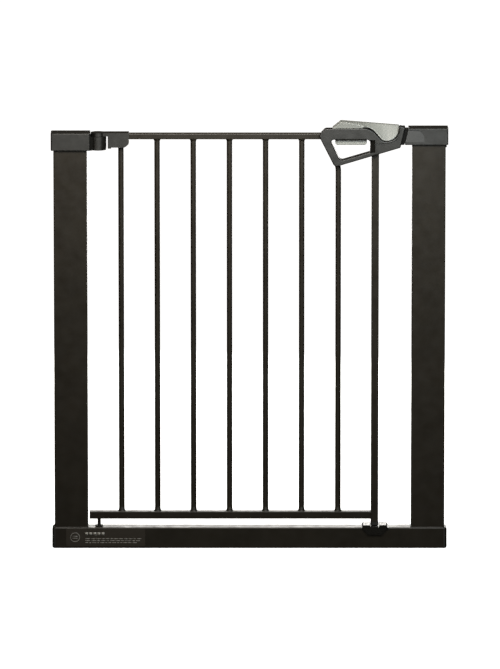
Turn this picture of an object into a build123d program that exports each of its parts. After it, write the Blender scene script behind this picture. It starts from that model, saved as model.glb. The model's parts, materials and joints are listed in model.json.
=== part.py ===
from build123d import *
import os

# Pressure-fit safety gate: a U-shaped steel frame and a barred door that lifts, swings and latches.
# Units are millimetres. X runs along the width with the hinge at -X, the front faces -Y, Z is up,
# and the origin is on the floor under the middle of the frame.

# ---- Frame ----
CAP_REACH = 355.0        # middle of the gate to the outer faces of its plastic caps
UPRIGHT_OUTER = 350.5
UPRIGHT_WIDTH = 60.0
UPRIGHT_DEPTH = 26.0
STEEL_WALL = 1.5
RAIL_HEIGHT = 38.0
RAIL_DEPTH = 30.0
RAIL_REACH = 349.0
CAP_DEPTH = 36.0
HINGE_CAP_BOTTOM = 725.9
HINGE_CAP_TOP = 757.5
HINGE_CAP_INNER = -284.3
LATCH_CAP_BOTTOM = 736.5
LATCH_CAP_TOP = 766.3
SLANT = 0.231            # sideways run per unit of height of the latch faces
SPINDLE_R = 5.0
SLEEVE_R = 7.0           # sleeve of a spindle nut, which reaches the outer face of the gate
SLEEVE_FIT = 0.05
NUT_LENGTH = 14.0
NUT_SIZE = 20.0

# ---- Hinge ----
HINGE_X = -270.7
KNUCKLE_R = 15.0
ARM_R = 13.3             # end of the clip's arm, which turns beside the hinge cap
KNUCKLE_TOP = 750.3
UPPER_PIN_R = 4.0
LOWER_PIN_R = 3.0
RUNNING_GAP = 0.05

# ---- Door ----
DOOR_RAIL_DEPTH = 15.0
TOP_RAIL_BOTTOM = 745.0
TOP_RAIL_TOP = 755.5
TOP_RAIL_LEFT = -246.0
TOP_RAIL_RIGHT = 140.0
LOW_RAIL_BOTTOM = 52.5
LOW_RAIL_TOP = 66.1
LOW_RAIL_LEFT = -287.8
DOOR_WALL = 1.2
BAR_R = 5.0
FIRST_BAR_X = -229.8
BAR_PITCH = 64.65
BAR_COUNT = 6
BENT_BAR_X = 158.9
POST_X = 224.9
POST_SIZE = 13.3
POST_BOTTOM = 46.5
POST_TOP = 741.0
FOOT_BOTTOM = 39.6

# ---- Handle ----
SHELL_HALF = 14.0        # middle of the handle to its front or rear face
SHELL_WALL = 2.5
COVER_HALF = 11.2        # half the depth of the thumb lever between the shell walls
SEAM = 1.0               # gap that the thumb lever turns in
NOSE_X = 277.9           # latch face of the handle at NOSE_Z
NOSE_Z = 766.0
CAP_FACE_X = 284.1       # latch face of the cap at NOSE_Z
BOLT_GAP = 0.35
BOLT_TRAVEL = 6.0
TRIGGER_TRAVEL = 4.0
BOLT_TUCK = 2.0          # how far the bolt head stays inside the nose at rest
LEVER_PIVOT = (243.0, 755.0)
CAM = (255.0, 734.0)     # cam pin in the bolt's slot, at rest
CUP_FLOOR = 742.4
HANDLE_SCREWS = [(142.6, 758.6), (144.4, 727.0), (240.0, 726.0)]


def across(y):
    """Sketch plane at depth y with local axes X and Z; extruding goes towards the front."""
    return Plane.XZ.offset(-y)


def finish(piece, name):
    piece.part.label = name
    export_step(piece.part, f"parts/{name}.step")


def nose_face(z):
    return NOSE_X + (z - NOSE_Z) * SLANT


def cap_face(z):
    return CAP_FACE_X + (z - NOSE_Z) * SLANT


def tube(plane, width, depth, wall, length, corner):
    with BuildPart() as hollow:
        with BuildSketch(plane):
            RectangleRounded(width, depth, corner)
            RectangleRounded(width - 2 * wall, depth - 2 * wall, corner / 2, mode=Mode.SUBTRACT)
        extrude(amount=length)
    return hollow


def rod(start, radius, length, rotation=(0, 0, 0)):
    """A plain round solid that grows from its start point along its own axis."""
    with Locations(Location(start, rotation)):
        return Cylinder(radius, length, align=(Align.CENTER, Align.CENTER, Align.MIN))


ALONG_X = (0, 90, 0)
ALONG_Y = (-90, 0, 0)


def bore(start, radius, length, rotation=(0, 0, 0)):
    with Locations(Location(start, rotation)):
        Cylinder(radius, length, align=(Align.CENTER, Align.CENTER, Align.MIN), mode=Mode.SUBTRACT)


def block(low, high, mode=Mode.ADD):
    size = [b - a for a, b in zip(low, high)]
    with Locations(low):
        Box(*size, align=(Align.MIN, Align.MIN, Align.MIN), mode=mode)


os.makedirs("parts", exist_ok=True)

# ---- Screws that hold the caps, driven through their backs into the uprights ----
CAP_SCREW_R = 1.6
CAP_SCREW_HEAD_R = 3.4
CAP_SCREW_END = UPRIGHT_DEPTH / 2 - STEEL_WALL - 1.0
with BuildPart() as cap_screws:
    for screw_x, screw_z in ((-336.0, 737.0), (-304.0, 737.0), (304.0, 746.5), (336.0, 746.5)):
        rod((screw_x, CAP_DEPTH / 2 - 1.2, screw_z), CAP_SCREW_HEAD_R, 1.2, ALONG_Y)
        rod((screw_x, CAP_SCREW_END, screw_z), CAP_SCREW_R, CAP_DEPTH / 2 - CAP_SCREW_END - 1.2, ALONG_Y)
finish(cap_screws, "cap_screws")

# ---- Uprights and bottom rail: welded steel tubes ----
upright_x = UPRIGHT_OUTER - UPRIGHT_WIDTH / 2
spindle_z = {"left": 740.0, "right": 749.0}
upright_top = {"left": HINGE_CAP_TOP - 6.0, "right": LATCH_CAP_TOP - 6.0}
for side, sign in (("left", -1), ("right", 1)):
    upright = tube(
        Plane((sign * upright_x, 0, RAIL_HEIGHT)), UPRIGHT_WIDTH, UPRIGHT_DEPTH, STEEL_WALL,
        upright_top[side] - RAIL_HEIGHT, 2.0,
    )
    with upright:
        wall_start = UPRIGHT_OUTER - 2 * STEEL_WALL if sign > 0 else -UPRIGHT_OUTER - STEEL_WALL
        bore((wall_start, 0, spindle_z[side]), SLEEVE_R + SLEEVE_FIT, 3 * STEEL_WALL, ALONG_X)
        add(cap_screws.part, mode=Mode.SUBTRACT)
    finish(upright, f"{side}_upright")

bottom_rail = tube(
    Plane((-RAIL_REACH, 0, RAIL_HEIGHT / 2), x_dir=(0, 1, 0), z_dir=(1, 0, 0)),
    RAIL_DEPTH, RAIL_HEIGHT, STEEL_WALL, 2 * RAIL_REACH, 2.0,
)
LOWER_BUSH_R = 4.8
with bottom_rail:
    bore((HINGE_X, 0, RAIL_HEIGHT - 2 * STEEL_WALL), LOWER_BUSH_R, 3 * STEEL_WALL)
finish(bottom_rail, "bottom_rail")

# ---- Plugs that close the ends of the bottom rail, each with a passage for a nut's sleeve ----
PLUG_REACH = 12.0
for side, sign in (("left", -1), ("right", 1)):
    with BuildPart() as rail_end_cap:
        end_plane = Plane((sign * RAIL_REACH, 0, RAIL_HEIGHT / 2), x_dir=(0, 1, 0), z_dir=(sign, 0, 0))
        with BuildSketch(end_plane):
            RectangleRounded(RAIL_DEPTH, RAIL_HEIGHT, 2.0)
        extrude(amount=CAP_REACH - RAIL_REACH)
        outer_top = rail_end_cap.faces().sort_by(Axis.X)[-1 if sign > 0 else 0].edges()
        fillet(outer_top.sort_by(Axis.Z)[-1], 4.0)
        with BuildSketch(end_plane):
            RectangleRounded(RAIL_DEPTH - 2 * STEEL_WALL, RAIL_HEIGHT - 2 * STEEL_WALL, 1.0)
        extrude(amount=-PLUG_REACH)
        bore((sign * (RAIL_REACH - PLUG_REACH - 1), 0, RAIL_HEIGHT / 2), SLEEVE_R + SLEEVE_FIT, 30.0,
             (0, 90 * sign, 0))
    finish(rail_end_cap, f"{side}_rail_end_cap")

# ---- Nuts that the pressure spindles screw into: a block inside the tube and a sleeve to the outside ----
for side, sign in (("left", -1), ("right", 1)):
    nut_places = {
        "top": (UPRIGHT_OUTER - STEEL_WALL, spindle_z[side]),
        "bottom": (RAIL_REACH - PLUG_REACH, RAIL_HEIGHT / 2),
    }
    for level, (nut_x, nut_z) in nut_places.items():
        nut_plane = Plane((sign * nut_x, 0, nut_z), x_dir=(0, 1, 0), z_dir=(-sign, 0, 0))
        with BuildPart() as spindle_nut:
            with BuildSketch(nut_plane):
                RectangleRounded(NUT_SIZE, NUT_SIZE, 3.0)
            extrude(amount=NUT_LENGTH)
            with BuildSketch(nut_plane):
                Circle(SLEEVE_R)
            extrude(amount=nut_x - CAP_REACH)
            with BuildSketch(nut_plane.offset(NUT_LENGTH)):
                Circle(SPINDLE_R)
            extrude(amount=nut_x - CAP_REACH - NUT_LENGTH, mode=Mode.SUBTRACT)
        finish(spindle_nut, f"{side}_{level}_spindle_nut")

# ---- Hinge cap: covers the left upright and carries the lower knuckle ----
SOCKET_FIT = 0.1
UPPER_BUSH_R = 6.0
with BuildPart() as hinge_cap:
    block((-CAP_REACH, -CAP_DEPTH / 2, HINGE_CAP_BOTTOM), (HINGE_CAP_INNER, CAP_DEPTH / 2, HINGE_CAP_TOP))
    fillet(hinge_cap.edges().filter_by(Axis.Z), 3.0)
    fillet(hinge_cap.faces().sort_by(Axis.Z)[-1].edges(), 1.5)
    fillet(hinge_cap.faces().sort_by(Axis.Z)[0].edges(), 1.2)
    with BuildSketch(Plane.XY.offset(HINGE_CAP_BOTTOM)):
        with Locations((HINGE_X, 0)):
            Circle(KNUCKLE_R)
        Polygon((-290.0, -17.0), (-284.6, -16.0), (-278.5, -10.8), (-278.5, 10.8), (-284.6, 16.0),
                (-290.0, 17.0), align=None)
    extrude(amount=KNUCKLE_TOP - HINGE_CAP_BOTTOM)
    block(
        (-UPRIGHT_OUTER - SOCKET_FIT, -UPRIGHT_DEPTH / 2 - SOCKET_FIT, HINGE_CAP_BOTTOM),
        (-UPRIGHT_OUTER + UPRIGHT_WIDTH + SOCKET_FIT, UPRIGHT_DEPTH / 2 + SOCKET_FIT, upright_top["left"]),
        Mode.SUBTRACT,
    )
    block((HINGE_CAP_INNER, -CAP_DEPTH / 2, KNUCKLE_TOP), (-250.0, CAP_DEPTH / 2, 770.0), Mode.SUBTRACT)
    bore((HINGE_X, 0, HINGE_CAP_BOTTOM), UPPER_BUSH_R, 30.0)
    bore((-CAP_REACH - 1, 0, spindle_z["left"]), SLEEVE_R + SLEEVE_FIT, 10.0, ALONG_X)
    add(cap_screws.part, mode=Mode.SUBTRACT)
finish(hinge_cap, "hinge_cap")

# ---- Latch cap: covers the right upright and holds the mouth that the bolt enters ----
MOUTH_HALF = 9.0
MOUTH_BOTTOM = 740.0
MOUTH_TOP = 763.5
MOUTH_END = 289.8
FIELD_BOTTOM = 742.0
FIELD_TOP = 763.4
FIELD_LEFT = 270.0
FIELD_RIGHT = 312.0
FIELD_DEPTH = 1.8

# Fields with one rounded corner on both big faces of the cap. Each gets deeper towards its upper edge.
with BuildPart() as cap_fields:
    with BuildSketch(across(CAP_DEPTH / 2)):
        with BuildLine():
            FilletPolyline((FIELD_LEFT, FIELD_BOTTOM), (FIELD_LEFT, FIELD_TOP), (FIELD_RIGHT, FIELD_TOP),
                           (FIELD_RIGHT, FIELD_BOTTOM), radius=[0, 0, 14.0, 0], close=True)
        make_face()
    extrude(amount=CAP_DEPTH)
    with BuildSketch(Plane.YZ.offset(FIELD_LEFT)):
        Polygon(
            (-CAP_DEPTH / 2, FIELD_BOTTOM), (CAP_DEPTH / 2, FIELD_BOTTOM),
            (CAP_DEPTH / 2 - FIELD_DEPTH, FIELD_TOP), (FIELD_DEPTH - CAP_DEPTH / 2, FIELD_TOP), align=None,
        )
    extrude(amount=FIELD_RIGHT - FIELD_LEFT, mode=Mode.SUBTRACT)

with BuildPart() as latch_cap:
    with BuildSketch(across(CAP_DEPTH / 2)):
        with BuildLine():
            Polyline(
                (cap_face(LATCH_CAP_BOTTOM), LATCH_CAP_BOTTOM), (cap_face(LATCH_CAP_TOP), LATCH_CAP_TOP),
                (CAP_REACH, LATCH_CAP_TOP), (CAP_REACH, LATCH_CAP_BOTTOM), close=True,
            )
        make_face()
    extrude(amount=CAP_DEPTH)
    outer_corners = latch_cap.edges().filter_by(Axis.Z)
    fillet(outer_corners, 2.5)
    fillet(latch_cap.faces().sort_by(Axis.Z)[-1].edges(), 1.2)
    fillet(latch_cap.faces().sort_by(Axis.Z)[0].edges(), 1.2)
    block(
        (UPRIGHT_OUTER - UPRIGHT_WIDTH - SOCKET_FIT, -UPRIGHT_DEPTH / 2 - SOCKET_FIT, LATCH_CAP_BOTTOM),
        (UPRIGHT_OUTER + SOCKET_FIT, UPRIGHT_DEPTH / 2 + SOCKET_FIT, upright_top["right"]),
        Mode.SUBTRACT,
    )
    block((270.0, -MOUTH_HALF, MOUTH_BOTTOM), (MOUTH_END, MOUTH_HALF, MOUTH_TOP), Mode.SUBTRACT)
    bore((UPRIGHT_OUTER - 1, 0, spindle_z["right"]), SLEEVE_R + SLEEVE_FIT, 10.0, ALONG_X)
    block((UPRIGHT_OUTER + SOCKET_FIT, -8.0, 731.0), (352.4, 8.0, LATCH_CAP_BOTTOM + 1))
    add(cap_screws.part, mode=Mode.SUBTRACT)
    add(cap_fields.part, mode=Mode.SUBTRACT)
finish(latch_cap, "latch_cap")

with BuildPart() as latch_keeper:
    with BuildSketch(Plane.XY.offset(MOUTH_BOTTOM)):
        with BuildLine():
            Polyline((MOUTH_END - 4.0, -MOUTH_HALF), (MOUTH_END, -MOUTH_HALF), (MOUTH_END, MOUTH_HALF),
                     (MOUTH_END - 4.0, MOUTH_HALF), (MOUTH_END - 4.0, MOUTH_HALF - 1.0),
                     (MOUTH_END - 1.0, MOUTH_HALF - 1.0), (MOUTH_END - 1.0, 1.0 - MOUTH_HALF),
                     (MOUTH_END - 4.0, 1.0 - MOUTH_HALF), close=True)
        make_face()
    extrude(amount=MOUTH_TOP - MOUTH_BOTTOM)
finish(latch_keeper, "latch_keeper")

# ---- Hinge bushes and pins ----
UPPER_BUSH_BOTTOM = 724.9
with BuildPart() as upper_hinge_bush:
    rod((HINGE_X, 0, HINGE_CAP_BOTTOM), UPPER_BUSH_R, KNUCKLE_TOP - HINGE_CAP_BOTTOM)
    rod((HINGE_X, 0, UPPER_BUSH_BOTTOM), 8.0, HINGE_CAP_BOTTOM - UPPER_BUSH_BOTTOM)
    bore((HINGE_X, 0, 720.0), UPPER_PIN_R + RUNNING_GAP, 40.0)
finish(upper_hinge_bush, "upper_hinge_bush")

LOWER_BUSH_BOTTOM = 16.0
LOWER_BUSH_TOP = 40.6
with BuildPart() as lower_hinge_bush:
    rod((HINGE_X, 0, LOWER_BUSH_BOTTOM), LOWER_BUSH_R, LOWER_BUSH_TOP - LOWER_BUSH_BOTTOM)
    rod((HINGE_X, 0, RAIL_HEIGHT), 7.0, LOWER_BUSH_TOP - RAIL_HEIGHT)
    bore((HINGE_X, 0, LOWER_BUSH_BOTTOM), LOWER_PIN_R + RUNNING_GAP, 40.0)
finish(lower_hinge_bush, "lower_hinge_bush")

UPPER_PIN_TOP = 755.0
with BuildPart() as upper_hinge_pin:
    rod((HINGE_X, 0, 723.8), UPPER_PIN_R, UPPER_PIN_TOP - 723.8)
    chamfer(upper_hinge_pin.edges().group_by(Axis.Z)[0], 0.8)
finish(upper_hinge_pin, "upper_hinge_pin")

LOWER_PIN_TOP = 63.0
with BuildPart() as lower_hinge_pin:
    rod((HINGE_X, 0, 22.0), LOWER_PIN_R, LOWER_PIN_TOP - 22.0)
    chamfer(lower_hinge_pin.edges().group_by(Axis.Z)[0], 0.8)
finish(lower_hinge_pin, "lower_hinge_pin")

# ---- Catch: a saddle on the bottom rail whose ears guide the foot of the latch post ----
CATCH_X = 225.4
EAR_OUTER = 24.5
EAR_INNER = 8.6
EAR_TOP = 42.8
SADDLE_TOP = 39.0
FLAP = 1.6               # thickness of the shield-shaped flaps on the sides of the rail
FLAP_FOOT = 12.5
FLAP_BOTTOM = 24.5
with BuildPart() as bottom_catch:
    with BuildSketch(across(RAIL_DEPTH / 2 + FLAP)):
        with Locations((CATCH_X, 0)):
            Polygon((-EAR_OUTER, RAIL_HEIGHT), (EAR_OUTER, RAIL_HEIGHT), (EAR_OUTER - 1.5, SADDLE_TOP),
                    (EAR_OUTER - 4.0, EAR_TOP), (EAR_INNER, EAR_TOP), (EAR_INNER - 1.0, SADDLE_TOP),
                    (1.0 - EAR_INNER, SADDLE_TOP), (-EAR_INNER, EAR_TOP), (4.0 - EAR_OUTER, EAR_TOP),
                    (1.5 - EAR_OUTER, SADDLE_TOP), align=None)
    extrude(amount=RAIL_DEPTH + 2 * FLAP)
    for depth in (RAIL_DEPTH / 2 + FLAP, -RAIL_DEPTH / 2):
        with BuildSketch(across(depth)):
            with BuildLine():
                FilletPolyline((CATCH_X - EAR_OUTER, RAIL_HEIGHT), (CATCH_X + EAR_OUTER, RAIL_HEIGHT),
                               (CATCH_X + FLAP_FOOT, FLAP_BOTTOM), (CATCH_X - FLAP_FOOT, FLAP_BOTTOM),
                               radius=[0, 0, 5.0, 5.0], close=True)
            make_face()
        extrude(amount=FLAP)
    for screw_x in (CATCH_X - 15.0, CATCH_X + 15.0):
        bore((screw_x, 0, RAIL_HEIGHT - 1), 1.7, 10.0)
        bore((screw_x, 0, EAR_TOP - 1.6), 3.2, 5.0)
finish(bottom_catch, "bottom_catch")

with BuildPart() as catch_screws:
    for screw_x in (CATCH_X - 15.0, CATCH_X + 15.0):
        rod((screw_x, 0, RAIL_HEIGHT), 1.6, EAR_TOP - 1.6 - RAIL_HEIGHT)
        rod((screw_x, 0, EAR_TOP - 1.6), 3.0, 1.4)
finish(catch_screws, "catch_screws")

# ---- Plain adhesive label on the front of the bottom rail ----
with BuildPart() as rail_label:
    with BuildSketch(across(-RAIL_DEPTH / 2)):
        with Locations((-259.0, 20.2)):
            RectangleRounded(142.0, 32.0, 2.0)
    extrude(amount=0.25)
finish(rail_label, "rail_label")

# ---- Door rails, bars and latch post ----
rail_height = TOP_RAIL_TOP - TOP_RAIL_BOTTOM
door_top_rail = tube(
    Plane((TOP_RAIL_LEFT, 0, TOP_RAIL_BOTTOM + rail_height / 2), x_dir=(0, 1, 0), z_dir=(1, 0, 0)),
    DOOR_RAIL_DEPTH, rail_height, DOOR_WALL, TOP_RAIL_RIGHT - TOP_RAIL_LEFT, 1.6,
)
finish(door_top_rail, "door_top_rail")

low_rail_height = LOW_RAIL_TOP - LOW_RAIL_BOTTOM
post_left = POST_X - POST_SIZE / 2
door_bottom_rail = tube(
    Plane((LOW_RAIL_LEFT, 0, LOW_RAIL_BOTTOM + low_rail_height / 2), x_dir=(0, 1, 0), z_dir=(1, 0, 0)),
    DOOR_RAIL_DEPTH, low_rail_height, DOOR_WALL, post_left - LOW_RAIL_LEFT, 1.6,
)
with door_bottom_rail:
    bore((HINGE_X, 0, LOW_RAIL_BOTTOM - 1), LOWER_PIN_R + 0.4, 4.0)
finish(door_bottom_rail, "door_bottom_rail")

PLUG_FIT = 0.1
with BuildPart() as rail_end_plug:
    with BuildSketch(Plane((LOW_RAIL_LEFT + 0.8, 0, LOW_RAIL_BOTTOM + low_rail_height / 2),
                           x_dir=(0, 1, 0), z_dir=(1, 0, 0))):
        RectangleRounded(DOOR_RAIL_DEPTH - 2 * (DOOR_WALL + PLUG_FIT),
                         low_rail_height - 2 * (DOOR_WALL + PLUG_FIT), 1.2)
    extrude(amount=28.0)
    bore((HINGE_X, 0, LOW_RAIL_BOTTOM), LOWER_PIN_R + RUNNING_GAP, LOWER_PIN_TOP + 0.3 - LOW_RAIL_BOTTOM)
finish(rail_end_plug, "rail_end_plug")

for index in range(BAR_COUNT):
    with BuildPart() as bar:
        rod((FIRST_BAR_X + index * BAR_PITCH, 0, LOW_RAIL_TOP), BAR_R, TOP_RAIL_BOTTOM - LOW_RAIL_TOP)
    finish(bar, f"bar_{index + 1}")

BEND_START = 686.0
with BuildPart() as bent_bar:
    with BuildLine(Plane.XZ) as bent_path:
        straight = Line((BENT_BAR_X, LOW_RAIL_TOP), (BENT_BAR_X, BEND_START))
        bend = JernArc(start=straight @ 1, tangent=straight % 1, radius=45.0, arc_size=25.0)
        Line(bend @ 1, bend @ 1 + 2.0 * (bend % 1))
    with BuildSketch(Plane.XY.offset(LOW_RAIL_TOP)):
        with Locations((BENT_BAR_X, 0)):
            Circle(BAR_R)
    sweep(path=bent_path.wires()[0])
finish(bent_bar, "bent_bar")

latch_post = tube(
    Plane((POST_X, 0, POST_BOTTOM)), POST_SIZE, POST_SIZE, DOOR_WALL, POST_TOP - POST_BOTTOM, 1.6,
)
finish(latch_post, "latch_post")

plug_size = POST_SIZE - 2 * (DOOR_WALL + PLUG_FIT)
with BuildPart() as post_foot:
    with BuildSketch(Plane.XY.offset(FOOT_BOTTOM)):
        with Locations((POST_X, 0)):
            RectangleRounded(14.2, 14.2, 2.0)
    extrude(amount=POST_BOTTOM - FOOT_BOTTOM)
    chamfer(post_foot.faces().sort_by(Axis.Z)[0].edges(), 1.5)
    with BuildSketch(Plane.XY.offset(POST_BOTTOM)):
        with Locations((POST_X, 0)):
            RectangleRounded(plug_size, plug_size, 1.2)
    extrude(amount=12.0)
finish(post_foot, "post_foot")

# ---- Hinge clip: clamps the corner of the door and reaches over the lower knuckle ----
CLIP_LEFT = -253.3
CLIP_RIGHT = -215.2
CLIP_HALF = 10.6
CLIP_TOP = 756.9
ARM_BOTTOM = 750.8
with BuildPart() as hinge_clip:
    with BuildSketch(across(CLIP_HALF)):
        with BuildLine():
            FilletPolyline((CLIP_LEFT, CLIP_TOP), (CLIP_RIGHT, CLIP_TOP), (CLIP_RIGHT, 737.0),
                           (-223.0, 730.6), (-247.0, 730.6), (-247.0, 728.8), (CLIP_LEFT, 728.8),
                           radius=[0, 1.0, 8.0, 8.0, 0, 0, 1.0], close=True)
        make_face()
    extrude(amount=2 * CLIP_HALF)
    with BuildSketch(Plane.XY.offset(ARM_BOTTOM)):
        with Locations((HINGE_X, 0)):
            Circle(ARM_R)
        Polygon((HINGE_X, -9.0), (CLIP_LEFT + 1, -CLIP_HALF), (CLIP_LEFT + 1, CLIP_HALF), (HINGE_X, 9.0),
                align=None)
    extrude(amount=CLIP_TOP - ARM_BOTTOM)
    block(
        (TOP_RAIL_LEFT - 0.2, -DOOR_RAIL_DEPTH / 2 - 0.1, TOP_RAIL_BOTTOM - 0.1),
        (CLIP_RIGHT + 1, DOOR_RAIL_DEPTH / 2 + 0.1, TOP_RAIL_TOP + 0.1), Mode.SUBTRACT,
    )
    bore((FIRST_BAR_X, 0, 720.0), BAR_R + 0.1, 30.0)
    bore((HINGE_X, 0, 740.0), UPPER_PIN_R + RUNNING_GAP, UPPER_PIN_TOP + 0.3 - 740.0)
finish(hinge_clip, "hinge_clip")

with BuildPart() as clip_screws:
    for screw_x in (-243.0, -221.0):
        rod((screw_x, CLIP_HALF, 738.5), 3.2, 1.4, ALONG_Y)
finish(clip_screws, "clip_screws")

# ---- Handle outlines, as seen from the front ----
HOLE_WALL = 2.2
HOLE_TOP = 745.2
with BuildSketch() as front_outline:
    with BuildLine():
        FilletPolyline(
            (123.7, 752.0), (135.4, 765.3), (216.8, 766.1), (237.9, CUP_FLOOR), (265.8, CUP_FLOOR),
            (268.2, 770.4), (nose_face(767.4), 767.4), (nose_face(730.6), 730.6), (152.2, 695.4),
            radius=[3.0, 5.0, 32.0, 11.0, 22.0, 0.8, 0.8, 3.0, 7.0], close=True,
        )
    make_face()

with BuildSketch() as rear_outline:
    with BuildLine():
        FilletPolyline(
            (123.7, 751.0), (134.4, 762.6), (258.0, 766.3), (nose_face(767.4), 767.4),
            (nose_face(730.6), 730.6), (152.2, 695.4), radius=[3.0, 5.0, 12.0, 0.8, 3.0, 7.0], close=True,
        )
    make_face()

with BuildSketch() as front_hole:
    with BuildLine():
        FilletPolyline((144.3, HOLE_TOP), (215.6, HOLE_TOP), (215.4, 722.7), (161.7, 707.2),
                       radius=[4.0, 6.0, 2.5, 6.0], close=True)
    make_face()

with BuildSketch() as rear_hole:
    with BuildLine():
        FilletPolyline((144.3, HOLE_TOP), (215.6, HOLE_TOP), (215.4, 721.3), (162.2, 705.6),
                       radius=[4.0, 6.0, 2.5, 7.0], close=True)
    make_face()

LEVER_BOTTOM = 757.0
DEEP_END = 203.0         # right end of the lever's side walls inside the housing
with BuildSketch() as lever_outline:
    with BuildLine():
        FilletPolyline(
            (148.3, LEVER_BOTTOM), (DEEP_END, LEVER_BOTTOM), (DEEP_END, 767.5), (217.2, 767.5),
            (238.5, CUP_FLOOR + SEAM), (264.8, CUP_FLOOR + SEAM), (267.2, 769.0), (163.0, 777.4),
            (148.3, 765.5), radius=[0, 0, 0, 29.0, 10.0, 21.0, 0.8, 5.0, 2.0], close=True,
        )
    make_face()


# ---- Handle housing: front and rear shells that meet on the middle plane ----
HEAD_BOTTOM = 735.0
HEAD_TOP = 764.3
BOSS_R = 3.3
RIB_X = 232.0
RIB_THICKNESS = 1.5
TRIGGER_LEFT = 152.8
TRIGGER_RIGHT = 209.9
TRIGGER_HALF = 7.0
SLIDE_GAP = 0.3
SHELF_BOTTOM = 754.6
EDGE_ROUND = 2.0         # along the outline and around the finger hole


def handle_shell(outline, hole, side):
    """Half housing on the given side of the middle plane: -1 is the front, 1 the rear."""
    outer = side * SHELL_HALF
    inner = side * (SHELL_HALF - SHELL_WALL)
    with BuildSketch() as hole_wall:
        add(hole.sketch)
        offset(amount=HOLE_WALL)
    with BuildPart() as shell:
        with BuildSketch(across(outer)):
            add(outline.sketch)
            add(hole.sketch, mode=Mode.SUBTRACT)
        extrude(amount=outer)
        fillet(shell.faces().sort_by(Axis.Y)[0 if side < 0 else -1].edges(), EDGE_ROUND)
        with BuildSketch(across(inner)):
            add(outline.sketch)
            offset(amount=-SHELL_WALL)
            add(hole_wall.sketch, mode=Mode.SUBTRACT)
        extrude(amount=inner, mode=Mode.SUBTRACT)
        # Posts for the screws and a rib for the bolt spring.
        low, high = sorted((0.0, inner))
        for boss_x, boss_z in HANDLE_SCREWS:
            rod((boss_x, low, boss_z), BOSS_R, high - low, ALONG_Y)
        block((RIB_X, low, 721.0), (RIB_X + RIB_THICKNESS, high, 738.6))
        # Passages for the top rail, the latch post, the bent bar and the bolt head.
        block((118.0, -7.6, TOP_RAIL_BOTTOM - 0.1), (TOP_RAIL_RIGHT + 0.2, 7.6, TOP_RAIL_TOP + 0.1),
              Mode.SUBTRACT)
        block((post_left - 0.1, -POST_SIZE / 2 - 0.1, 700.0),
              (post_left + POST_SIZE + 0.1, POST_SIZE / 2 + 0.1, POST_TOP + 0.1), Mode.SUBTRACT)
        add(bent_bar.part, mode=Mode.SUBTRACT)
        block((262.0, -8.0, HEAD_BOTTOM - 0.3), (290.0, 8.0, HEAD_TOP + 0.3), Mode.SUBTRACT)
        # Slots for the thumb lever and the squeeze trigger.
        block((147.8, -COVER_HALF - SLIDE_GAP, 758.0), (DEEP_END + 0.7, COVER_HALF + SLIDE_GAP, 790.0),
              Mode.SUBTRACT)
        block((TRIGGER_LEFT - SLIDE_GAP, -TRIGGER_HALF - SLIDE_GAP, 743.0),
              (TRIGGER_RIGHT + SLIDE_GAP, TRIGGER_HALF + SLIDE_GAP, 750.0), Mode.SUBTRACT)
    return shell


# The right wall of the finger hole slopes out towards the front, and a shallow groove runs from it
# round the cup.
with BuildSketch(Plane.XY.offset(722.0)) as hole_slope:
    Polygon((214.9, -14.5), (225.4, -14.5), (214.9, -7.2), align=None)
with BuildSketch(across(-SHELL_HALF)) as groove:
    with BuildLine():
        FilletPolyline((222.0, 736.6), (243.0, 739.4), (268.6, 739.9), (271.0, 764.0), radius=[10.0, 24.0],
                       close=False)
    trace(line_width=1.4)

GROOVE_DEPTH = 1.2

# Room in the wall under the cup for the arm of the bolt when it is drawn back.
with BuildSketch(across(0.0)) as bolt_relief:
    Polygon((249.0, 737.5), (249.0, 738.6), (255.0, 741.0), (258.5, 742.4), (263.0, 742.4), (263.0, 737.5),
            align=None)

front_shell = handle_shell(front_outline, front_hole, -1)
with front_shell:
    block((216.6, -SHELL_HALF + SHELL_WALL, 722.0), (229.0, -POST_SIZE / 2 - 0.2, CUP_FLOOR - 0.2))
    extrude(bolt_relief.sketch, amount=5.4, mode=Mode.SUBTRACT)
    extrude(hole_slope.sketch, amount=22.6, mode=Mode.SUBTRACT)
    extrude(groove.sketch, amount=-GROOVE_DEPTH, mode=Mode.SUBTRACT)
    for boss_x, boss_z in HANDLE_SCREWS:
        bore((boss_x, -9.0, boss_z), 1.5, 9.0, ALONG_Y)
finish(front_shell, "handle_front_shell")

rear_shell = handle_shell(rear_outline, rear_hole, 1)
HEAD_RECESS = 2.0
with rear_shell:
    block((DEEP_END, 0, 758.0), (269.5, COVER_HALF + SLIDE_GAP, 790.0), Mode.SUBTRACT)
    # Shelf for the trigger and lever springs, and the socket of the lever's pivot pin.
    block((158.0, -8.4, SHELF_BOTTOM), (200.0, 11.8, SHELF_BOTTOM + 1.4))
    rod((LEVER_PIVOT[0], 7.7, LEVER_PIVOT[1]), 4.5, 4.0, ALONG_Y)
    bore((LEVER_PIVOT[0], 7.7, LEVER_PIVOT[1]), 2.0, 4.8, ALONG_Y)
    for boss_x, boss_z in HANDLE_SCREWS:
        bore((boss_x, 0, boss_z), 1.7, 14.0, ALONG_Y)
        bore((boss_x, SHELL_HALF - HEAD_RECESS, boss_z), 3.0, 3.0, ALONG_Y)
finish(rear_shell, "handle_rear_shell")

with BuildPart() as handle_screws:
    for boss_x, boss_z in HANDLE_SCREWS:
        rod((boss_x, -8.0, boss_z), 1.4, SHELL_HALF - HEAD_RECESS + 8.0, ALONG_Y)
        rod((boss_x, SHELL_HALF - HEAD_RECESS, boss_z), 2.7, 1.6, ALONG_Y)
finish(handle_screws, "handle_screws")

with BuildPart() as lever_pivot_pin:
    rod((LEVER_PIVOT[0], -1.6, LEVER_PIVOT[1]), 2.0, 14.0, ALONG_Y)
finish(lever_pivot_pin, "lever_pivot_pin")

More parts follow.
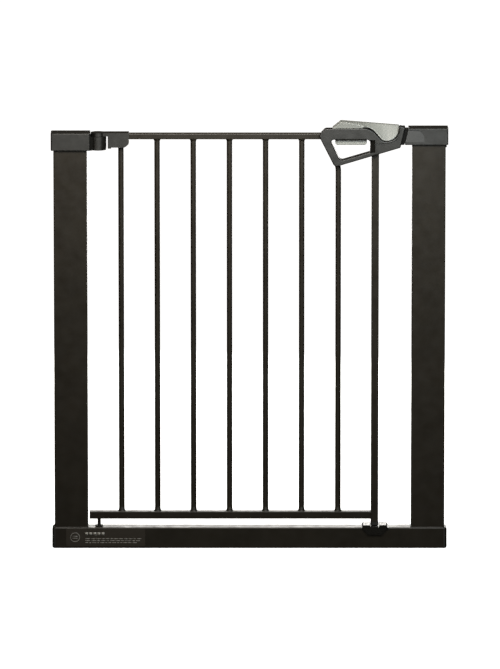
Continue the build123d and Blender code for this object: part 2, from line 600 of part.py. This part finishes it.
# ---- Thumb lever: a saddle that is level at the left and rolls down into the cup on the right ----
# Each section is (x, ridge depth, ridge height, height at the front face).
SADDLE = [
    (140.0, -8.0, 778.0, 778.0), (165.0, -8.0, 778.0, 777.6), (188.0, -3.0, 776.5, 772.4),
    (203.0, 1.0, 775.3, 767.6), (212.0, 3.0, 774.6, 762.6), (224.0, 4.0, 773.7, 754.0),
    (238.0, 4.5, 772.6, 744.9), (246.0, 4.5, 771.9, 742.6), (275.0, 4.5, 769.6, 742.6),
]
TONGUE_FRONT = 13.6
HUB_R = 5.0
with BuildPart() as thumb_lever:
    with BuildSketch(across(COVER_HALF)):
        add(lever_outline.sketch)
    extrude(amount=COVER_HALF + TONGUE_FRONT)
    for x, ridge_y, ridge_z, front_z in SADDLE:
        with BuildSketch(Plane.YZ.offset(x)):
            Polygon((ridge_y, ridge_z), (ridge_y, 795.0), (-TONGUE_FRONT - 1, 795.0),
                    (-TONGUE_FRONT - 1, front_z), align=None)
    loft(ruled=True, mode=Mode.SUBTRACT)
    block((140.0, -20.0, 750.0), (214.0, -COVER_HALF, 790.0), Mode.SUBTRACT)
    block((DEEP_END - 1, 0.0, 735.0), (275.0, 20.0, LEVER_BOTTOM), Mode.SUBTRACT)
    # Room for the pivot socket and for the spring shelf, and a hollow above the springs.
    block((237.0, 7.4, LEVER_BOTTOM - 1), (249.0, 20.0, 761.5), Mode.SUBTRACT)
    block((156.5, 5.0, LEVER_BOTTOM - 1), (DEEP_END, 20.0, 760.5), Mode.SUBTRACT)
    block((150.5, -COVER_HALF + 2.0, 750.0), (DEEP_END - 2.2, COVER_HALF - 2.0, 762.0), Mode.SUBTRACT)
    block((163.0, -COVER_HALF + 4.0, 761.0), (192.0, COVER_HALF - 2.0, 770.5), Mode.SUBTRACT)
    rod((LEVER_PIVOT[0], -3.5, LEVER_PIVOT[1]), HUB_R, 10.9, ALONG_Y)
    bore((LEVER_PIVOT[0], -1.8, LEVER_PIVOT[1]), 2.0 + RUNNING_GAP, 14.0, ALONG_Y)
finish(thumb_lever, "thumb_lever")

# ---- Squeeze trigger with the arm that drives the bolt ----
FLANGE_BOTTOM = HOLE_TOP + HOLE_WALL + 0.2
FLANGE_TOP = 750.0
TRIGGER_BOTTOM = 735.0
SPRING_POCKETS = [168.0, 196.0]
POCKET_FLOOR = 738.0
ARM_NEAR = 8.0
ARM_FAR = 10.4
with BuildPart() as squeeze_trigger:
    with BuildSketch(across(TRIGGER_HALF)):
        with BuildLine():
            FilletPolyline((TRIGGER_LEFT, FLANGE_TOP), (TRIGGER_RIGHT, FLANGE_TOP),
                           (TRIGGER_RIGHT - 0.6, TRIGGER_BOTTOM), (TRIGGER_LEFT + 0.6, TRIGGER_BOTTOM),
                           radius=[0, 0, 4.5, 4.5], close=True)
        make_face()
    extrude(amount=2 * TRIGGER_HALF)
    block((151.0, -8.3, FLANGE_BOTTOM), (212.5, 8.3, FLANGE_TOP))
    with BuildSketch(across(ARM_FAR)):
        Polygon((204.0, FLANGE_BOTTOM), (204.0, FLANGE_TOP), (222.0, FLANGE_TOP), (228.0, 745.5),
                (258.0, 745.5), (258.0, 731.8), (251.5, 731.8), (251.5, 741.5), (224.0, 741.5),
                (220.5, FLANGE_BOTTOM), align=None)
    extrude(amount=ARM_FAR - ARM_NEAR)
    bore((CAM[0], 5.0, CAM[1]), 1.5, 8.0, ALONG_Y)
    for pocket_x in SPRING_POCKETS:
        bore((pocket_x, 0, POCKET_FLOOR), 3.2, 20.0)
finish(squeeze_trigger, "squeeze_trigger")

with BuildPart() as cam_pin:
    rod((CAM[0], -5.6, CAM[1]), 1.5, ARM_FAR + 5.6, ALONG_Y)
finish(cam_pin, "cam_pin")

# ---- Latch bolt: slotted arm inside the handle, slanted head in the nose ----
HEAD_HALF = 7.7
SLOT_R = 1.6
with BuildPart() as latch_bolt:
    with BuildSketch(across(HEAD_HALF)):
        Polygon(
            (nose_face(HEAD_BOTTOM) - BOLT_TUCK, HEAD_BOTTOM), (nose_face(HEAD_TOP) - BOLT_TUCK, HEAD_TOP),
            (cap_face(HEAD_TOP) - BOLT_GAP, HEAD_TOP), (cap_face(HEAD_BOTTOM) - BOLT_GAP, HEAD_BOTTOM),
            align=None,
        )
    extrude(amount=2 * HEAD_HALF)
    with BuildSketch(across(5.0)):
        Polygon((249.0, 730.9), (255.0, 731.3), (262.0, 733.7), (267.0, HEAD_BOTTOM), (272.0, HEAD_BOTTOM),
                (272.0, 742.0), (264.5, 742.0), (261.0, 740.6), (255.0, 738.2), (249.0, 737.0), align=None)
    extrude(amount=10.0)
    # The cam pin climbs this slot and draws the bolt back.
    with BuildSketch(across(5.0)):
        SlotCenterPoint((CAM[0] + BOLT_TRAVEL / 2, CAM[1] + TRIGGER_TRAVEL / 2),
                        (CAM[0] + BOLT_TRAVEL, CAM[1] + TRIGGER_TRAVEL), 2 * SLOT_R)
    extrude(amount=10.0, mode=Mode.SUBTRACT)
finish(latch_bolt, "latch_bolt")


# ---- Return springs ----
WIRE_R = 0.35


def coil(start, direction, length, radius, turns):
    """Compression spring whose wire ends stop just inside the given length."""
    axis = Vector(*direction)
    height = length - 2 * WIRE_R
    base = Vector(*start) + WIRE_R * axis
    with BuildPart() as spring:
        with BuildLine() as wire_line:
            Helix(pitch=height / turns, height=height, radius=radius, center=base, direction=axis)
        with BuildSketch(wire_line.line ^ 0):
            Circle(WIRE_R)
        sweep(path=wire_line.line, is_frenet=True)
    return spring


TRIGGER_COIL_R = 2.4
with BuildPart() as trigger_springs:
    for pocket_x in SPRING_POCKETS:
        low_end = (pocket_x, 0, POCKET_FLOOR + 0.05)
        add(coil(low_end, (0, 0, 1), SHELF_BOTTOM - POCKET_FLOOR - 0.1, TRIGGER_COIL_R, 7).part)
finish(trigger_springs, "trigger_springs")

SHELF_TOP = SHELF_BOTTOM + 1.4
lever_spring = coil((172.0, 0, SHELF_TOP + 0.05), (0, 0, 1), 770.5 - SHELF_TOP - 0.1, 3.0, 6)
finish(lever_spring, "lever_spring")

spring_left = RIB_X + RIB_THICKNESS + 0.05
bolt_spring = coil((spring_left, 0, CAM[1]), (1, 0, 0), 249.0 - 0.05 - spring_left, 2.6, 7)
finish(bolt_spring, "bolt_spring")
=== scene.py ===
import json
import math
import random

import bmesh
import bpy
from mathutils import Matrix, Vector


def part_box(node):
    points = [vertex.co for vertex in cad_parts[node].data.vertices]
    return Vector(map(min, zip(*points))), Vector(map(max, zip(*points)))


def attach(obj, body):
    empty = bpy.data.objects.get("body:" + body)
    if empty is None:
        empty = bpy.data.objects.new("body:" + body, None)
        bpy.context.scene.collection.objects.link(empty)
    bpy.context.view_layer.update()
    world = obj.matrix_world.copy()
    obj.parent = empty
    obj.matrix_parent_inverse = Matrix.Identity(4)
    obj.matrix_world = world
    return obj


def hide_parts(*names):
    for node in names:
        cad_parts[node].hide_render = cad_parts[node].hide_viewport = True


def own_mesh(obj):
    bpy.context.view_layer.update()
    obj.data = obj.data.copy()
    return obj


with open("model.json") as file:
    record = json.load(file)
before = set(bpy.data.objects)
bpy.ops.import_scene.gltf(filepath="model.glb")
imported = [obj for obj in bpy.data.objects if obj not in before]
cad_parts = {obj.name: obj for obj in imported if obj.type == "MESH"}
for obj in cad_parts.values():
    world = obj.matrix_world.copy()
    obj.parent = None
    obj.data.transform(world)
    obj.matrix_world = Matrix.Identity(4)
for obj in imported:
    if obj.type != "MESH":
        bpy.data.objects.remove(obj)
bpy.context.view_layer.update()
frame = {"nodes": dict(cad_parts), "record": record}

NODES = frame["nodes"]
MM = 0.001
SLOT_OF = {part["node"]: part["material_slot"] for part in frame["record"]["subparts"]}
scene = bpy.context.scene
random.seed(11)


# ---- Materials: every one is built from nodes in object space ----
class Surface:
    """A principled material with helpers for procedural detail in object space."""

    def __init__(self, name, roughness, **sockets):
        self.material = bpy.data.materials.new(name)
        self.material.use_nodes = True
        self.tree = self.material.node_tree
        self.shader = self.tree.nodes["Principled BSDF"]
        self.shader.inputs["Roughness"].default_value = roughness
        for socket, value in sockets.items():
            self.shader.inputs[socket.replace("_", " ")].default_value = value
        self.coords = self.add("ShaderNodeTexCoord").outputs["Object"]

    def add(self, kind, **settings):
        node = self.tree.nodes.new(kind)
        for key, value in settings.items():
            setattr(node, key, value)
        return node

    def link(self, source, target):
        self.tree.links.new(source, target)

    def stretched(self, scale):
        """Object coordinates scaled by a different amount along each axis."""
        mapping = self.add("ShaderNodeMapping")
        mapping.inputs["Scale"].default_value = scale
        self.link(self.coords, mapping.inputs["Vector"])
        return mapping.outputs["Vector"]

    def noise(self, scale, detail=3.0, coords=None, distortion=0.0):
        """Soft random pattern; a larger scale gives smaller grains."""
        node = self.add("ShaderNodeTexNoise")
        node.inputs["Scale"].default_value = scale
        node.inputs["Detail"].default_value = detail
        node.inputs["Distortion"].default_value = distortion
        self.link(coords or self.coords, node.inputs["Vector"])
        return node.outputs["Fac"]

    def cells(self, scale):
        """Pattern of rounded cells, for a moulded grain or zinc spangles."""
        node = self.add("ShaderNodeTexVoronoi")
        node.inputs["Scale"].default_value = scale
        self.link(self.coords, node.inputs["Vector"])
        return node.outputs["Distance"]

    def spread(self, value, low, high, to_low, to_high):
        """Value moved from the range low..high to the range to_low..to_high, and held inside it."""
        node = self.add("ShaderNodeMapRange")
        for socket, number in zip(("From Min", "From Max", "To Min", "To Max"), (low, high, to_low, to_high)):
            node.inputs[socket].default_value = number
        self.link(value, node.inputs["Value"])
        return node.outputs["Result"]

    def edges(self, radius, low, high):
        """Mask of the outer and inner edges, from how far a rounded normal leans away from the true one."""
        rounded = self.add("ShaderNodeBevel", samples=4)
        rounded.inputs["Radius"].default_value = radius
        geometry = self.add("ShaderNodeNewGeometry")
        dot = self.add("ShaderNodeVectorMath", operation="DOT_PRODUCT")
        self.link(rounded.outputs["Normal"], dot.inputs[0])
        self.link(geometry.outputs["Normal"], dot.inputs[1])
        return self.spread(dot.outputs["Value"], high, low, 0.0, 1.0)

    def turned(self, axis, high, low):
        """Mask that is 0 where the surface faces along the axis by at least high and 1 below low."""
        split = self.add("ShaderNodeSeparateXYZ")
        self.link(self.add("ShaderNodeTexCoord").outputs["Normal"], split.inputs["Vector"])
        size = self.add("ShaderNodeMath", operation="ABSOLUTE")
        self.link(split.outputs[axis], size.inputs[0])
        return self.spread(size.outputs["Value"], high, low, 0.0, 1.0)

    def softened(self, radius):
        """Shading normal that rounds the edges over the given radius."""
        rounded = self.add("ShaderNodeBevel", samples=6)
        rounded.inputs["Radius"].default_value = radius
        return rounded.outputs["Normal"]

    def blend(self, mask, first, second):
        """Colour that goes from first to second with the mask; either may be a colour or another output."""
        node = self.add("ShaderNodeMix", data_type="RGBA")
        self.link(mask, node.inputs["Factor"])
        for socket, value in ((node.inputs[6], first), (node.inputs[7], second)):
            if isinstance(value, tuple):
                socket.default_value = (*value, 1.0)
            else:
                self.link(value, socket)
        return node.outputs[2]

    def color(self, source):
        self.link(source, self.shader.inputs["Base Color"])

    def roughness(self, source):
        self.link(source, self.shader.inputs["Roughness"])

    def bump(self, *layers, normal=None):
        """Layers of (height, depth in metres), the coarsest first, over an optional shading normal."""
        for height, depth in layers:
            node = self.add("ShaderNodeBump")
            node.inputs["Strength"].default_value = 1.0
            node.inputs["Distance"].default_value = depth
            self.link(height, node.inputs["Height"])
            if normal:
                self.link(normal, node.inputs["Normal"])
            normal = node.outputs["Normal"]
        self.link(normal, self.shader.inputs["Normal"])


def powder_coat():
    """Black paint with a faint mottle and pale specks, with painted shade: duller and darker on faces turned
    sideways.
    """
    s = Surface("powder_coat", 0.42, Specular_IOR_Level=0.32)
    mottle = s.noise(28.0, 4.0, distortion=0.3)
    speck = s.spread(s.noise(1700.0, 2.0), 0.62, 0.74, 0.0, 0.5)
    base = s.blend(s.spread(mottle, 0.35, 0.65, 0.0, 1.0), (0.0105, 0.0086, 0.0060), (0.0135, 0.0112, 0.0080))
    base = s.blend(speck, base, (0.030, 0.027, 0.022))
    # Painted shade: faces turned sideways along X get a darker colour and less shine.
    side = s.turned("X", 0.45, 0.85)
    s.color(s.blend(side, base, (0.0042, 0.0034, 0.0024)))
    s.link(s.spread(side, 0.0, 1.0, 0.32, 0.14), s.shader.inputs["Specular IOR Level"])
    s.roughness(s.spread(s.noise(60.0, 5.0), 0.3, 0.7, 0.36, 0.48))
    s.bump((s.noise(420.0, 2.0), 0.000014), (s.noise(1500.0, 2.0), 0.000008))
    return s.material


def black_plastic():
    """Grained moulding with painted shade: it goes darker where it turns away from the front and the back."""
    s = Surface("black_plastic", 0.5, Specular_IOR_Level=0.5)
    mottle = s.noise(45.0, 4.0)
    base = s.blend(s.spread(mottle, 0.35, 0.65, 0.0, 1.0), (0.0138, 0.0137, 0.0128), (0.0172, 0.0170, 0.0160))
    # Painted shade: faces turned away from the front and back get a darker colour and less shine.
    painted_edge_shade = s.turned("Y", 0.995, 0.88)
    s.color(s.blend(painted_edge_shade, base, (0.0036, 0.0034, 0.0029)))
    s.link(s.spread(painted_edge_shade, 0.0, 1.0, 0.5, 0.16), s.shader.inputs["Specular IOR Level"])
    s.roughness(s.spread(s.noise(90.0, 4.0), 0.3, 0.7, 0.36, 0.46))
    s.bump((s.cells(1900.0), 0.00002), (s.noise(3600.0, 2.0), 0.00001))
    return s.material


def bolt_plastic(name, low, high):
    """Smooth, slightly shiny plastic between two tones."""
    s = Surface(name, 0.3, Specular_IOR_Level=0.25)
    s.color(s.blend(s.noise(80.0), low, high))
    s.roughness(s.spread(s.noise(200.0, coords=s.stretched((1.0, 1.0, 6.0))), 0.3, 0.7, 0.24, 0.40))
    s.bump((s.noise(900.0), 0.00001))
    return s.material


def grey_plastic(name, low, high):
    """Pale grained moulding between two tones, with softened edges that carry painted shade."""
    s = Surface(name, 0.42, Specular_IOR_Level=0.45)
    flow = s.noise(38.0, 3.0, coords=s.stretched((0.5, 1.0, 1.0)))
    base = s.blend(s.spread(flow, 0.35, 0.65, 0.0, 1.0), low, high)
    # Painted shade: the edges take a darker copy of the low tone.
    painted_edge_shade_color = tuple(0.72 * value for value in low)
    s.color(s.blend(s.edges(0.0010, 0.80, 0.97), base, painted_edge_shade_color))
    s.roughness(s.spread(s.noise(110.0, 4.0), 0.3, 0.7, 0.38, 0.48))
    s.bump((s.cells(2100.0), 0.000014), (s.noise(3800.0, 2.0), 0.000008), normal=s.softened(0.0032))
    return s.material


def zinc_steel():
    s = Surface("zinc_steel", 0.32, Metallic=1.0)
    spangle = s.cells(700.0)
    s.color(s.blend(s.spread(spangle, 0.0, 0.7, 0.0, 1.0), (0.50, 0.51, 0.52), (0.66, 0.66, 0.64)))
    s.roughness(s.spread(s.noise(500.0, 4.0, coords=s.stretched((1.0, 1.0, 8.0))), 0.3, 0.7, 0.24, 0.42))
    s.bump((s.noise(900.0), 0.00001))
    return s.material


def dark_steel():
    s = Surface("dark_steel", 0.4, Metallic=1.0)
    s.color(s.blend(s.noise(600.0), (0.055, 0.052, 0.048), (0.115, 0.108, 0.098)))
    s.roughness(s.spread(s.noise(700.0, 4.0), 0.3, 0.7, 0.3, 0.5))
    s.bump((s.noise(1200.0), 0.000012))
    return s.material


def label_film():
    s = Surface("label_film", 0.34, Specular_IOR_Level=0.4)
    s.color(s.blend(s.noise(24.0), (0.0240, 0.0205, 0.0165), (0.0285, 0.0245, 0.0200)))
    s.roughness(s.spread(s.noise(240.0, 4.0), 0.3, 0.7, 0.28, 0.42))
    s.bump((s.noise(70.0, 2.0), 0.00008))
    return s.material


def label_ink():
    s = Surface("label_ink", 0.4)
    s.color(s.blend(s.noise(900.0), (0.16, 0.155, 0.14), (0.24, 0.23, 0.21)))
    s.roughness(s.spread(s.noise(700.0), 0.3, 0.7, 0.34, 0.46))
    s.bump((s.noise(2500.0), 0.000008))
    return s.material


FINISH = {
    "powder_coat": powder_coat(),
    "black_plastic": black_plastic(),
    # Black plastic of the bolt, made darker than the other black plastic as painted shade for the gap between
    # handle and cap.
    "bolt_plastic": bolt_plastic("bolt_plastic", (0.0022, 0.0020, 0.0018), (0.0042, 0.0040, 0.0034)),
    "grey_plastic": grey_plastic("grey_plastic", (0.116, 0.119, 0.110), (0.126, 0.129, 0.119)),
    "zinc_steel": zinc_steel(),
    "dark_steel": dark_steel(),
    "label_film": label_film(),
}
INK = label_ink()
for name, node in NODES.items():
    node.data.materials.clear()
    node.data.materials.append(FINISH[SLOT_OF[name]])
NODES["bottom_catch"].data.materials[0] = bolt_plastic(
    "catch_plastic", (0.0062, 0.0058, 0.0050), (0.0092, 0.0088, 0.0078))
# Painted light: the trigger gets a lighter copy of the grey plastic, standing in for light that its place
# under the handle misses.
NODES["squeeze_trigger"].data.materials[0] = grey_plastic(
    "trigger_plastic_painted_light", (0.176, 0.180, 0.166), (0.188, 0.192, 0.178))


# ---- Detail pieces ----
def piece(name, body, slot, build, material=None):
    """A new visible piece, built in millimetres, that rides on a body of the gate."""
    shape = bmesh.new()
    build(shape)
    bmesh.ops.scale(shape, vec=(MM, MM, MM), verts=shape.verts)
    bmesh.ops.recalc_face_normals(shape, faces=shape.faces)
    mesh = bpy.data.meshes.new(name)
    shape.to_mesh(mesh)
    shape.free()
    item = bpy.data.objects.new(name, mesh)
    for face in mesh.polygons:
        face.use_smooth = True
    mesh.materials.append(material or FINISH[slot])
    scene.collection.objects.link(item)
    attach(item, body)
    return item


def joined(shape, rings, closed):
    """Faces between neighbouring rings of vertices, with the two ends filled when the row is open."""
    for low, high in zip(rings, rings[1:] + rings[:1] if closed else rings[1:]):
        for index in range(len(low)):
            after = (index + 1) % len(low)
            shape.faces.new((low[index], low[after], high[after], high[index]))
    if not closed:
        shape.faces.new(rings[0])
        shape.faces.new(rings[-1])


def lathe(profile, centre, turn=Matrix(), segments=32, closed=False):
    """Builder of a turned shape from (radius, height) pairs; turn tips its axis away from Z."""
    def build(shape):
        rings = []
        for radius, height in profile:
            ring = []
            for index in range(segments):
                angle = 2 * math.pi * index / segments
                point = Vector((radius * math.cos(angle), radius * math.sin(angle), height))
                ring.append(shape.verts.new(Vector(centre) + turn @ point))
            rings.append(ring)
        joined(shape, rings, closed)
    return build


def loop(half_u, half_v, corner, step=1.4):
    """Points of a rounded rectangle, spaced about one step apart."""
    points = []
    for sign_u, sign_v, start in ((1, 1, 0), (-1, 1, 90), (-1, -1, 180), (1, -1, 270)):
        for angle in (0, 30, 60, 90):
            turn = math.radians(start + angle)
            points.append((sign_u * (half_u - corner) + corner * math.cos(turn),
                           sign_v * (half_v - corner) + corner * math.sin(turn)))
    dense = []
    for (u, v), (next_u, next_v) in zip(points, points[1:] + points[:1]):
        count = max(1, round(math.hypot(next_u - u, next_v - v) / step))
        for index in range(count):
            share = index / count
            dense.append((u + (next_u - u) * share, v + (next_v - v) * share))
    return dense


def bead(path, radius):
    """Builder of a weld bead along a closed path, with the small waves of a hand-held torch."""
    def build(shape):
        rings = []
        count = len(path)
        for index in range(count):
            along = (Vector(path[(index + 1) % count]) - Vector(path[index - 1])).normalized()
            side = along.cross(Vector((0.577, 0.577, 0.577))).normalized()
            up = side.cross(along)
            size = radius * random.uniform(0.86, 1.12)
            ring = []
            for step in range(8):
                angle = math.pi * step / 4
                offset = size * (math.cos(angle) * side + math.sin(angle) * up)
                ring.append(shape.verts.new(Vector(path[index]) + offset))
            rings.append(ring)
        joined(shape, rings, True)
    return build


def node_box(name):
    """Lowest and highest corner of a node in millimetres."""
    low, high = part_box(name)
    return Vector(low) / MM, Vector(high) / MM


# Welds: the uprights on the rail, the bars in their rails, the lower rail on the post.
BEAD_RADIUS = 0.9
BEAD_SINK = 0.2
for side in ("left", "right"):
    low, high = node_box(side + "_upright")
    middle = (low + high) / 2
    outline = loop((high.x - low.x) / 2 + BEAD_SINK, (high.y - low.y) / 2 + BEAD_SINK, 2.2)
    path = [(middle.x + u, middle.y + v, low.z + BEAD_SINK) for u, v in outline]
    piece(side + "_upright_weld", "frame", "powder_coat", bead(path, BEAD_RADIUS))

BARS = ["bar_1", "bar_2", "bar_3", "bar_4", "bar_5", "bar_6", "bent_bar"]
# Outlines of the welds round a bar, as (radius, height) from the surface of the rail.
LOW_FLARE = [(4.9, -0.3), (6.9, -0.3), (6.8, 0.3), (6.3, 1.1), (5.7, 2.4), (5.3, 4.2),
             (5.06, 6.4), (4.9, 6.5)]
TOP_FLARE = [(4.9, -3.4), (5.06, -3.3), (5.6, -2.6), (6.2, -1.3), (6.4, 0.0), (6.4, 0.3), (4.9, 0.3)]
for bar in BARS:
    low, high = node_box(bar)
    centre_x = high.x - (high.y - low.y) / 2
    piece(bar + "_low_weld", "door", "powder_coat", lathe(LOW_FLARE, (centre_x, 0, low.z)))
    if bar != "bent_bar":
        piece(bar + "_top_weld", "door", "powder_coat", lathe(TOP_FLARE, (centre_x, 0, high.z)))

low, high = node_box("door_bottom_rail")
outline = loop((high.y - low.y) / 2 - 0.6, (high.z - low.z) / 2 - 0.2, 1.6)
path = [(high.x - BEAD_SINK, v, (low.z + high.z) / 2 + w) for v, w in outline]
piece("post_weld", "door", "powder_coat", bead(path, 1.0))


# Return springs, built as still coils; in the real gate their coils close up as the handle is worked.
WIRE_RADIUS = 0.35
STEPS_PER_TURN = 16


def coils(starts, along, length, radius, turns):
    """Builder of one or more compression springs wound round the direction along."""
    along = Vector(along)
    side = along.orthogonal().normalized()
    up = along.cross(side)
    height = length - 2 * WIRE_RADIUS
    steps = turns * STEPS_PER_TURN

    def build(shape):
        for start in starts:
            rings = []
            for index in range(steps + 1):
                angle = 2 * math.pi * turns * index / steps
                out = math.cos(angle) * side + math.sin(angle) * up
                middle = Vector(start) + (WIRE_RADIUS + height * index / steps) * along + radius * out
                ring = []
                for corner in range(8):
                    tilt = math.pi * corner / 4
                    offset = WIRE_RADIUS * (math.cos(tilt) * out + math.sin(tilt) * along)
                    ring.append(shape.verts.new(middle + offset))
                rings.append(ring)
            joined(shape, rings, False)
    return build


def spring(node, starts, along, length, radius, turns):
    """A spring of coils that replaces a node of the door; it is built at rest, with no joint to shorten it.
    """
    item = piece(node + "_coils", "door", SLOT_OF[node], coils(starts, along, length, radius, turns))
    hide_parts(node)
    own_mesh(item)


spring("trigger_springs", starts=[(168.0, 0, 738.05), (196.0, 0, 738.05)],
       along=(0, 0, 1), length=16.5, radius=2.4, turns=7)
spring("lever_spring", starts=[(172.0, 0, 756.05)],
       along=(0, 0, 1), length=14.3, radius=3.0, turns=6)
spring("bolt_spring", starts=[(233.55, 0, 734.0)],
       along=(1, 0, 0), length=15.4, radius=2.6, turns=7)


# Marks on the label, measured from its left end and its middle line.
RING_X = 16.0
RING_SECTION = [(7.6, -0.02), (7.6, 0.03), (8.6, 0.03), (8.6, -0.02)]
RING_BARS_Z = (-2.4, 1.2)
LINES_X = 34.0
BLOCK_COUNT = 5
BLOCK_PITCH = 7.4
ROW_COUNT = 3
ROW_PITCH = 3.6
RIGHT_MARGIN = 14.0
DASH_GAP = 1.6
INK_SINK = 0.02
INK_HEIGHT = 0.03


def printing(shape):
    """Plain marks on the label: a ring, some short bars and rows of dashes."""
    low, high = node_box("rail_label")
    middle = (low.z + high.z) / 2

    def mark(x, z, width, height):
        corners = ((x, z), (x + width, z), (x + width, z + height), (x, z + height))
        rings = []
        for depth in (low.y + INK_SINK, low.y - INK_HEIGHT):
            rings.append([shape.verts.new((u, depth, v)) for u, v in corners])
        joined(shape, rings, False)

    facing_front = Matrix.Rotation(math.radians(90), 3, "X")
    ring_centre = (low.x + RING_X, low.y, middle)
    lathe(RING_SECTION, ring_centre, facing_front, segments=48, closed=True)(shape)
    for bar_z in RING_BARS_Z:
        mark(low.x + RING_X - 4.5, middle + bar_z, 9.0, 1.2)
    for index in range(BLOCK_COUNT):
        mark(low.x + LINES_X + BLOCK_PITCH * index, middle + 3.4, 5.4, 5.6)
    for row in range(ROW_COUNT):
        place = low.x + LINES_X
        while place < high.x - RIGHT_MARGIN:
            length = random.uniform(3.0, 9.0)
            mark(place, middle - 3.2 - ROW_PITCH * row, length, 1.1)
            place += length + DASH_GAP


piece("label_print", "frame", "label_film", printing, INK)


# ---- Camera: far away, a little above the gate ----
LOOK_DOWN = math.radians(10.8)
DISTANCE = 16.0
AIM = Vector((0.0009, 0.0, 0.3890))
LENS = 479.9
camera = bpy.data.objects.new("camera", bpy.data.cameras.new("camera"))
scene.collection.objects.link(camera)
scene.camera = camera
camera.data.lens = LENS
camera.data.sensor_width = 36.0
camera.data.clip_end = 100.0
camera.location = AIM + DISTANCE * Vector((0, -math.cos(LOOK_DOWN), math.sin(LOOK_DOWN)))
camera.rotation_euler = (math.radians(90) - LOOK_DOWN, 0, 0)


# ---- Stage: pale floor, pale surround, soft lights ----
FLOOR_RADIUS = 26.0
SURROUND_RADIUS = 27.0


def plain(name, color, emission):
    """Dull material that also glows white."""
    material = bpy.data.materials.new(name)
    material.use_nodes = True
    shader = material.node_tree.nodes["Principled BSDF"]
    shader.inputs["Base Color"].default_value = (*color, 1.0)
    shader.inputs["Roughness"].default_value = 0.9
    shader.inputs["Specular IOR Level"].default_value = 0.0
    shader.inputs["Emission Color"].default_value = (1.0, 1.0, 1.0, 1.0)
    shader.inputs["Emission Strength"].default_value = emission
    return material


def stage_mesh(name, build, material):
    """A part of the stage that the camera sees but that throws no light on the gate."""
    shape = bmesh.new()
    build(shape)
    mesh = bpy.data.meshes.new(name)
    shape.to_mesh(mesh)
    shape.free()
    item = bpy.data.objects.new(name, mesh)
    item.data.materials.append(material)
    scene.collection.objects.link(item)
    item.visible_diffuse = False
    item.visible_glossy = False
    item.visible_transmission = False
    return item


def disc(shape):
    bmesh.ops.create_circle(shape, cap_ends=True, segments=96, radius=FLOOR_RADIUS)


def ball(shape):
    bmesh.ops.create_uvsphere(shape, u_segments=48, v_segments=24, radius=SURROUND_RADIUS)


stage_mesh("floor", disc, plain("floor_white", (0.85, 0.85, 0.85), 0.98))
surround = stage_mesh("surround", ball, plain("surround_white", (0.0, 0.0, 0.0), 1.03))
surround.visible_shadow = False

# World: dim and warm below, brighter above, by the height of the direction.
world = bpy.data.worlds.new("studio")
scene.world = world
world.use_nodes = True
tree = world.node_tree
sky = tree.nodes["Background"]
sky.inputs["Strength"].default_value = 1.0
direction = tree.nodes.new("ShaderNodeTexCoord").outputs["Generated"]
split = tree.nodes.new("ShaderNodeSeparateXYZ")
tree.links.new(direction, split.inputs["Vector"])
ramp = tree.nodes.new("ShaderNodeValToRGB")
height = tree.nodes.new("ShaderNodeMapRange")
height.inputs["From Min"].default_value = -1.0
tree.links.new(split.outputs["Z"], height.inputs["Value"])
tree.links.new(height.outputs["Result"], ramp.inputs["Fac"])
tree.links.new(ramp.outputs["Color"], sky.inputs["Color"])
SKY_COLORS = ((0.30, (0.025, 0.020, 0.012, 1.0)), (0.75, (0.135, 0.122, 0.100, 1.0)))
for element, (position, color) in zip(ramp.color_ramp.elements, SKY_COLORS):
    element.position = position
    element.color = color


def softbox(name, place, aim, width, height, power, color):
    """Rectangular light that shines from its place towards aim and isn't seen by the camera."""
    lamp = bpy.data.lights.new(name, "AREA")
    lamp.shape = "RECTANGLE"
    lamp.size = width
    lamp.size_y = height
    lamp.energy = power
    lamp.color = color
    box = bpy.data.objects.new(name, lamp)
    box.location = place
    box.rotation_euler = (Vector(aim) - Vector(place)).to_track_quat("-Z", "Y").to_euler()
    box.visible_camera = False
    scene.collection.objects.link(box)


softbox("key", (-0.08, -0.62, 1.27), (-0.05, 0, 0.74), 0.8, 0.35, 20.0, (1.0, 0.95, 0.87))
softbox("fill", (0.55, -0.75, 1.20), (0.30, 0, 0.72), 0.4, 0.4, 9.0, (0.82, 0.94, 1.0))
softbox("front", (0.10, -1.90, 0.98), (0.10, 0, 0.72), 0.8, 0.3, 5.0, (0.97, 1.0, 0.98))
softbox("back", (0.30, 1.80, 0.45), (0, 0, 0.42), 1.4, 0.6, 16.0, (1.0, 0.98, 0.94))
softbox("top", (0.0, 0.4, 2.0), (0, 0, 0.6), 1.6, 0.8, 0.6, (1.0, 0.96, 0.88))

scene.view_settings.view_transform = "Standard"
scene.view_settings.look = "None"
